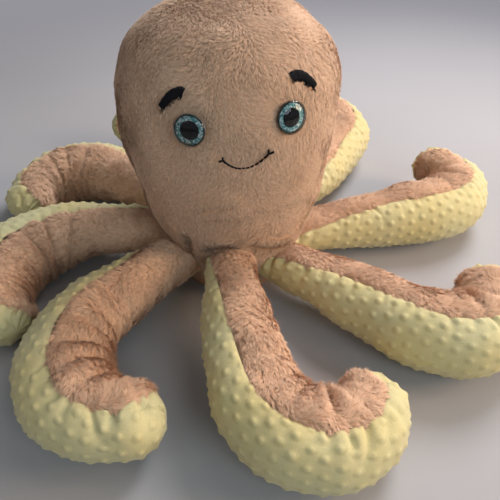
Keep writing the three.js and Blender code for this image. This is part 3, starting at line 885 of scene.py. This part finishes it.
def dot_places(limb):
    """Places of the raised dots: staggered rows on the cut cloth, thinned where the curl
    crowds them and filled where it spreads them."""
    fine = np.linspace(0, TENTACLE_END, 1200)
    outer = limb.surface(fine, 205.0, DOT_DEPTH)
    walked = np.concatenate([[0], np.cumsum(size_of(np.diff(outer, axis=0)))])
    rng = np.random.default_rng(300 + limb.index)
    downs = np.arange(rng.uniform(2, 12), walked[-1], DOT_PITCH * sqrt(3) / 2)
    lengths = np.interp(downs, walked, fine)
    columns = np.arange(-9, 10)[None] + 0.5 * (np.arange(len(downs)) % 2)[:, None]
    radius = half_width(share_of(lengths)) - DOT_DEPTH
    beyond = np.maximum(0, lengths - TENTACLE_LENGTH) / TIP_RADIUS
    radius = np.maximum(1.0, radius * np.sqrt(np.maximum(0, 1 - beyond**2)))[:, None]
    angles = DOTTED_SIDE + np.degrees(columns * DOT_PITCH / radius)
    rows = np.broadcast_to(lengths[:, None], angles.shape)
    rows = np.concatenate([rows.ravel(), rng.uniform(0, TENTACLE_END - 1, SPARE_PLACES)])
    angles = np.concatenate([angles.ravel(), rng.uniform(56, 416, SPARE_PLACES)])
    start, stop = fur_edges(limb.lay, rows)
    inside = (angles > stop - 2) & (angles < start + 362) & (np.abs(angles - DOTTED_SIDE) <= 180)
    far = np.where(np.arange(len(rows)) < len(rows) - SPARE_PLACES, 0.74, 0.98) * DOT_PITCH
    points = limb.surface(rows, angles, DOT_DEPTH) + rng.normal(size=(len(rows), 3)) * 0.5
    kept = []
    for point, least in zip(points[inside], far[inside], strict=True):
        if not kept or np.min(size_of(np.array(kept) - point)) > least:
            kept.append(point)
    return np.array(kept)


def dots(limb, points):
    """How far each point stands up on a dot, as a share of the dots' height."""
    places = dot_places(limb)
    rng = np.random.default_rng(350 + limb.index)
    tall, wide = rng.uniform(0.8, 1.1, len(places)), rng.uniform(0.92, 1.08, len(places))
    tree = kd_tree(places)
    found = [tree.find(point)[1:] for point in points.reshape(-1, 3)]
    index, gap = np.array(found).T
    index = index.astype(int)
    share = np.clip(gap / (DOT_RADIUS * wide[index]), 0, 1)
    rise = (1 - share**2) ** 2 * tall[index]
    return rise.reshape(points.shape[:-1])


# How far the strands turn towards a seam, in degrees
FRINGE = 55


def tip_lengths(step):
    """Even steps along a tentacle and then round its closed tip."""
    body = np.linspace(0, TENTACLE_LENGTH, int(TENTACLE_LENGTH / step) + 1)
    turn = np.linspace(0, pi / 2, int(TIP_RADIUS * pi / 2 / step) + 1)[1:]
    return np.concatenate([body, TENTACLE_LENGTH + TIP_RADIUS * np.sin(turn)])


def lift_off(points, relief):
    """Moves a grid out along its normals, but never through the floor."""
    grid = points + grid_normals(points) * relief[..., None]
    grid[..., 2] = np.maximum(grid[..., 2], 0.0)
    return grid


def add_fur(limb):
    body_rows = np.linspace(0, FUR_CLOSING, 150)
    end_rows = FUR_CLOSING + FUR_END_LENGTH * np.sin(np.radians(np.linspace(4, 89, 20)))
    rows = np.concatenate([body_rows, end_rows])
    start, stop = fur_edges(limb.lay, rows)
    angle = start[:, None] + (stop - start)[:, None] * np.linspace(0, 1, 64)
    length = np.broadcast_to(rows[:, None], angle.shape)
    plain = limb.surface(length, angle, FUR_DEPTH)
    relief = fur_relief(limb, length, angle, plain)
    grid, faces = lift_off(plain, relief), grid_faces(*angle.shape)
    name = limb.name
    add_mesh(f"{name}_fur_skin", grid, faces, backing, name, "fur", f"{name}_fur_panel")
    rng = np.random.default_rng(400 + limb.index)
    spots = scatter(grid, LONG_PILE.density, rng)
    places = between(grid, *spots)
    normals = unit(between(grid_normals(grid), *spots))
    ahead = between(np.gradient(grid, axis=0), *spots)
    ahead = unit(ahead - normals * (ahead * normals).sum(-1, keepdims=True))
    swirl = 0.6 * waves(places, 52, 410 + limb.index)
    swirl += 0.35 * waves(places, 20, 420 + limb.index)
    at_angle, at_length, sunk = (
        between(values[..., None], *spots)[:, 0] for values in (angle, length, -relief)
    )
    distance, _, upper = seam_place(limb.lay, at_length, at_angle)
    swirl += np.where(upper, -1, 1) * radians(FRINGE) * np.exp(-distance / 9)
    grown = 1 - 0.25 * np.exp(-at_length / 30)
    # painted shade on strands sunk deep in a crease or gather, except near the seams
    shade = 0.35 * smooth(sunk, 2.0, 6.0) * (distance > 6)
    tip_half = at_length > np.median(at_length)
    for part, here in (("root", ~tip_half), ("tip", tip_half)):
        mine = (values[here] for values in (places, normals, ahead, swirl, grown, shade))
        seed = 430 + limb.index
        add_pile(f"{name}_pile_{part}", *mine, LONG_PILE, long_fur, name, seed)


def add_dotted(limb):
    rows = tip_lengths(1.5)
    start, stop = fur_edges(limb.lay, rows)
    angle = stop[:, None] + (start + 360 - stop)[:, None] * np.linspace(0, 1, 112)
    length = np.broadcast_to(rows[:, None], angle.shape)
    plain = limb.surface(length, angle, DOT_DEPTH)
    raised = dots(limb, plain)
    relief = dot_relief(limb, length, angle, plain) + DOT_HEIGHT * raised
    relief = relief * np.sqrt(np.clip((TENTACLE_END - length) / 3, 0, 1))
    grid, faces = lift_off(plain, relief), grid_faces(*angle.shape)
    name = limb.name
    node = f"{name}_dot_panel"
    skin = add_mesh(f"{name}_dotted_skin", grid, faces, dotted, name, "dot_plush", node)
    keep(skin, "dot", raised)


def add_filling(limb):
    rows = tip_lengths(6)
    angle, length = np.meshgrid(np.linspace(0, 360, 37)[:-1], rows)
    points = limb.surface(length, angle, FILLING_DEPTH, 0.0)
    faces = grid_faces(*angle.shape, True)
    name = limb.name
    node = f"{name}_stuffing"
    filling = add_mesh(f"{name}_filling", points, faces, fibre, name, "stuffing", node)


# Eyes, brows and mouth


def revolve(name, profile, seat, outward, material, slot, stands_for, sides=72):
    """A turned piece: radii and heights above its seat."""
    spin = np.linspace(0, tau, sides + 1)[:-1, None]
    side = unit(np.cross([0, 0, 1.0], outward))
    ring = np.cos(spin) * side + np.sin(spin) * np.cross(outward, side)
    radius, height = np.asarray(profile, float).T[..., None, None]
    points = seat + radius * ring + height * outward
    faces = grid_faces(len(profile), sides, True)
    return add_mesh(name, points, faces, material, "head", slot, stands_for)


def rounded(corners, radius=0.25, steps=4):
    """A profile with its inner corners rounded."""
    corners = np.asarray(corners, float)
    points = [corners[0]]
    for before, corner, after in zip(corners, corners[1:], corners[2:], strict=False):
        back, ahead = before - corner, after - corner
        short = min(radius, size_of(back) / 2, size_of(ahead) / 2)
        bend = corner + unit(back) * short, corner, corner + unit(ahead) * short
        points += [bezier(bend, t) for t in np.linspace(0, 1, steps + 1)]
    return np.array([*points, corners[-1]])


def iris_material():
    """Glitter under clear plastic: teal flakes, the palest of them painted glints, with a dark
    edge.
    """
    nodes = paint("glitter_iris")
    flakes = nodes.texture("TexVoronoi", {"Scale": 900})
    # the teal stops are the glitter's colour; the near-white stop is painted glints
    flakes_and_painted_glints = (0.0, linear(26, 70, 76)), (0.34, linear(66, 134, 140))
    flakes_and_painted_glints += (0.6, linear(126, 190, 190)), (0.84, linear(250, 255, 252))
    clouds = nodes.ramp(nodes.noise(170, 3), (0.35, grey(0.7)), (0.62, WHITE))
    glitter_with_painted_glints = nodes.times(nodes.ramp(flakes["Color"], *flakes_and_painted_glints), clouds)
    edge = nodes.ramp(nodes.read("reach"), (0.89, grey(0.0)), (0.96, WHITE))
    colour = nodes.mix(edge, glitter_with_painted_glints, linear(14, 44, 50))
    bump = flakes["Distance"], 0.5, 0.0002
    return nodes.show(nodes.shader(colour, 0.35, metal=0.2, bump=bump))


def gloss_material(name, colour, roughness, shine=0.5):
    """Moulded plastic with a faint haze."""
    nodes = paint(name)
    paler = tuple(min(1, c * 1.25) for c in colour)
    shade = nodes.ramp(nodes.noise(120, 2), (0.3, colour), (0.8, paler))
    return nodes.show(nodes.shader(shade, roughness, shine))


def clear_material():
    """Clear plastic that mirrors the lights and lets the iris be seen."""
    nodes = paint("clear_dome")
    mirrored = nodes.add("Fresnel", {"IOR": 1.46})
    clear = nodes.add("BsdfTransparent", {"Color": (0.97, 0.99, 0.99, 1)})
    return nodes.blend(mirrored, clear, nodes.add("BsdfGlossy", {"Roughness": 0.03}))


# Heights above an eye's seat: the dome's rim and rise, the post's end, and the washer, which
# clears a cover this thick where the head falls away under the washer's rim
DOME_RIM, DOME_RISE = 1.9, 5.2
POST_END = -15.9
COVER_THICK, WASHER_GAP = 4.5, 0.8
WASHER_RADIUS, WASHER_HOLE, WASHER_THICK = 11, 3.1, 1.6
WASHER_DEPTH = FACE_LIFT + COVER_THICK + WASHER_RADIUS**2 / HEAD_RADIUS + WASHER_GAP


def add_eye(side, glass, iris, pupil, plastic):
    """A safety eye: clear dome, glitter disc, black button with its post, and the washer."""
    turn, share = EYES[side]
    seat = eye_seats[side]
    outward = unit(seat - head_point(turn, share * HEAD_HEIGHT))

    def part(name, profile, material, slot, node):
        names = f"eye_{side}_{name}", f"eye_{side}_{node}"
        return revolve(names[0], profile, seat, outward, material, slot, names[1])

    rise = np.linspace(0, pi / 2, 25)
    dome = np.stack([EYE_RADIUS * np.cos(rise), DOME_RIM + DOME_RISE * np.sin(rise)], -1)
    shell = np.concatenate([[[13.3, 0.2], [13.9, 0.0], [EYE_RADIUS, 0.5]], dome])
    part("dome", shell, glass, "clear_lens", "lens")
    disc = [[PUPIL_RADIUS - 0.4, 0.0], [13.2, 0.0], [13.25, 1.3], [12.6, 1.0], [PUPIL_RADIUS, 0.85]]
    ring = part("glitter", rounded(disc, 0.2), iris, "glitter_iris", "iris")
    points = np.empty(3 * len(ring.data.vertices))
    ring.data.vertices.foreach_get("co", points)
    away = points.reshape(-1, 3) / MM - seat
    away -= (away @ outward)[:, None] * outward
    keep(ring, "reach", size_of(away) / IRIS_RADIUS)
    post = [[0, 1.25], [5, 1.2], [7.2, 1.05], [PUPIL_RADIUS, 0.8], [PUPIL_RADIUS, -0.4]]
    post += [[2.9, -0.6], [2.9, POST_END + 0.6], [2.3, POST_END], [0, POST_END]]
    part("button", rounded(post), pupil, "pupil_black", "pupil")
    top, low = -WASHER_DEPTH, -WASHER_DEPTH - WASHER_THICK
    rim = [[WASHER_RADIUS, low], [WASHER_RADIUS, top]]
    washer = [[WASHER_HOLE, low], *rim, [WASHER_HOLE, top], [WASHER_HOLE, low]]
    part("backing", rounded(washer), plastic, "washer_plastic", "washer")


def tube(path, radius, sides=7):
    """Points and faces of a thin round thread along a path, narrowing almost to nothing at its
    ends.
    """
    path = np.asarray(path, float)
    ahead = unit(np.gradient(path, axis=0))
    side = unit(np.cross(ahead, unit(path * [1, 1, 0])))
    other = np.cross(side, ahead)
    spin = np.linspace(0, tau, sides + 1)[:-1, None]
    ring = np.cos(spin) * side[:, None] + np.sin(spin) * other[:, None]
    thick = np.full(len(path), radius)
    thick[[0, -1]] *= 0.15
    return path[:, None] + ring * thick[:, None, None], grid_faces(len(path), sides, True)


def join(parts):
    """One set of points and faces from several."""
    points = [some.reshape(-1, 3) for some, _ in parts]
    starts = np.cumsum([0, *map(len, points)])
    faces = [some + start for (_, some), start in zip(parts, starts[:-1], strict=True)]
    return np.concatenate(points), np.concatenate(faces)


# How stitches and padding of a brow bow, how often a stitch ends low, and its loose threads
BROW_STITCHES = 90
BROW_BOW, PAD_BOW = 2.0, 1.5
RAGGED = {"left": 0.4, "right": 0.12}
LOOSE_ENDS = 5
MOUTH_STITCHES = 11


def add_brow(side):
    """Satin stitches side by side across a padded brow, with uneven and loose ends below."""
    rng = np.random.default_rng(500 + len(side))
    centre = polyline(BROWS[side], BROW_STITCHES, FACE_LIFT)
    ahead = unit(np.gradient(centre, axis=0))
    out = unit(centre * [1, 1, 0] + [0, 0, 20.0])
    across = unit(np.cross(out, ahead))
    across = across * np.sign((across[:, 2] + 1e-6))[:, None]
    threads = []
    for index, point in enumerate(centre):
        outer = index / BROW_STITCHES if side == "right" else 1 - index / BROW_STITCHES
        half = BROW_WIDTH / 2 * (0.72 + 0.28 * smooth(outer, 0, 0.35)) + rng.normal() * 0.22
        ragged = rng.uniform(0.6, 2.8) if rng.random() < RAGGED[side] else 0
        spots = np.linspace(-1, 1, 9)
        reach = spots * half - np.where(spots < -0.7, ragged, 0)
        bow = BROW_BOW * (1 - spots**4) - 0.5 * (np.abs(spots) > 0.95)
        path = point + across[index] * reach[:, None] + out[index] * bow[:, None]
        path = path + ahead[index] * (rng.normal() * 0.2 + rng.normal() * 0.25 * spots)[:, None]
        threads.append(tube(path, 0.42 * rng.uniform(0.85, 1.15), 5))
    start, turn = (0, -1) if side == "right" else (BROW_STITCHES - 1, 1)
    way = ahead[start] * turn
    for _ in range(LOOSE_ENDS):
        reach = rng.uniform(0.4, 1.0) * BROW_WIDTH / 2
        spots = np.linspace(0, 1, 7)[:, None]
        loose = centre[start] - across[start] * reach - way * 2 + out[start] * 1.2
        bend = across[start] * rng.uniform(-2.5, 0.5) * spots**2
        loose = loose + way * rng.uniform(4, 7) * spots + bend + out[start] * 1.2 * spots
        threads.append(tube(loose, 0.28, 4))
    edge = np.linspace(-1, 1, 7)
    pad = centre[:, None] + across[:, None] * (edge * (BROW_WIDTH / 2 - 0.7))[:, None]
    pad = pad + out[:, None] * (PAD_BOW * (1 - edge**4))[:, None]
    shape = join([*threads, (pad, grid_faces(BROW_STITCHES, 7))])
    add_mesh(f"brow_{side}_stitching", *shape, black_thread, "head", "black_felt", f"brow_{side}")


def add_mouth():
    """Stitches in a row, sunk into the nap at the middle of the smile, and short ones that
    hook over each end."""
    stitches = []
    for index in range(MOUTH_STITCHES):
        middle = 1 - abs((index + 0.5) / MOUTH_STITCHES - 0.5) * 2
        low, high = index / MOUTH_STITCHES, (index + 1 - 0.22 * middle) / MOUTH_STITCHES
        share = np.linspace(low, high, 9)
        lift = 1.5 - 1.4 * middle**1.5 + 0.9 * np.sin(pi * np.linspace(0, 1, 9))
        path = np.array([face_line(MOUTH, s, up) for s, up in zip(share, lift, strict=True)])
        stitches.append(tube(path, 1.1 - 0.45 * middle))
    for end, hooks in MOUTH_HOOKS:
        turn, height = MOUTH[0][end], MOUTH[1][end] * HEAD_HEIGHT
        for over, up in hooks:
            path = []
            for s in np.linspace(-0.1, 1, 9):
                place = turn + np.degrees(over * s / HEAD_RADIUS), height + up * s
                path.append(head_point(*place, 1.8 + 0.6 * sin(pi * s)))
            stitches.append(tube(path, 0.95))
    shape = join(stitches)
    add_mesh("mouth_stitching", *shape, black_thread, "head", "black_thread", "mouth_stitch")


# Stage


BACKGROUND = linear(150, 149, 156)
# The soft light that comes from all round: its colour and strength
AROUND = (0.96, 0.98, 1.0, 1), 0.18
# The floor: rings and spokes, and in millimetres its first and last ring and where it fades out
FLOOR_RINGS, FLOOR_SPOKES = 40, 96
FIRST_RING, LAST_RING = 40, 9000
FADE_FROM, FADE_TO = 450, 1700
# Where the lamps are aimed, and each lamp's place and width in metres, power and colour
LIT_PLACE = (0, 0, 0.1)
LAMPS = {
    "warm": ((1.6, -0.25, 0.75), 0.8, 20, (1.0, 0.72, 0.5)),
    "top": ((0.75, 0.1, 1.6), 1.0, 4, (1.0, 0.95, 0.9)),
    "key": ((0.9, 0.95, 1.4), 0.9, 32, (0.98, 0.97, 1.0)),
    "front": ((0.9, -1.3, 1.0), 0.9, 8, (0.76, 0.92, 1.0)),
    "fill": ((-1.0, -1.1, 1.2), 1.2, 2.5, (1.0, 1.0, 1.0)),
}


def add_stage():
    """A pale floor that the camera sees fade, far out, into the background's colour."""
    radius = np.concatenate([[0], np.geomspace(FIRST_RING, LAST_RING, FLOOR_RINGS - 1)])
    spin = np.linspace(0, tau, FLOOR_SPOKES + 1)[:-1]
    x, y = np.outer(radius, np.cos(spin)), np.outer(radius, np.sin(spin))
    nodes = paint("floor")
    greys = (0.3, linear(163, 162, 165)), (0.7, linear(168, 167, 170))
    shader = nodes.shader(nodes.ramp(nodes.noise(2.2, 2), *greys), 0.9)
    seen = nodes.add("LightPath", {}).outputs["Is Camera Ray"]
    seen = nodes.add("Math", {0: seen, 1: nodes.read("far")}, operation="MULTIPLY")
    material = nodes.blend(seen, shader, nodes.add("Emission", {"Color": BACKGROUND}))
    points, faces = np.stack([x, y, np.zeros(x.shape)], -1), grid_faces(*x.shape, True)
    floor = mesh_object("floor", points, faces, material)
    keep(floor, "far", np.repeat(smooth(radius, FADE_FROM, FADE_TO), FLOOR_SPOKES))


def add_world():
    """Soft light all round, but the plain background for the camera and for what is mirrored."""
    world = bpy.data.worlds.new("studio")
    nodes = Nodes(world)
    around, shown = (
        nodes.add("Background", {"Color": colour, "Strength": strength})
        for colour, strength in (AROUND, (BACKGROUND, 1.0))
    )
    rays = nodes.add("LightPath", {}).outputs
    inputs = {0: rays["Is Camera Ray"], 1: rays["Is Glossy Ray"]}
    either = nodes.add("Math", inputs, operation="MAXIMUM")
    nodes.blend(either, around, shown, "OutputWorld")
    bpy.context.scene.world = world


def add_lights():
    """Round lamps, each aimed at the lit place."""
    for name, (place, width, power, colour) in LAMPS.items():
        data = bpy.data.lights.new(name, "AREA")
        data.shape = "DISK"
        data.size, data.energy, data.color = width, power, colour
        light = new_object(name, data)
        light.location = place
        way = Vector(LIT_PLACE) - Vector(place)
        light.rotation_euler = way.to_track_quat("-Z", "Y").to_euler()


add_head()
for index in range(len(LAYS)):
    limb = Tentacle(index)
    add_fur(limb)
    add_dotted(limb)
    add_filling(limb)
glass = clear_material()
pupil = gloss_material("black_pupil", linear(7, 7, 9), 0.12, 0.1)
plastic = gloss_material("white_plastic", linear(225, 225, 220), 0.45)
for side in EYES:
    add_eye(side, glass, iris_material(), pupil, plastic)
    add_brow(side)
add_mouth()
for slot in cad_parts["base_panel"].material_slots:
    slot.material = woven_material()
add_stage()
add_world()
add_lights()

scene = bpy.context.scene
scene.view_settings.view_transform = "Standard"
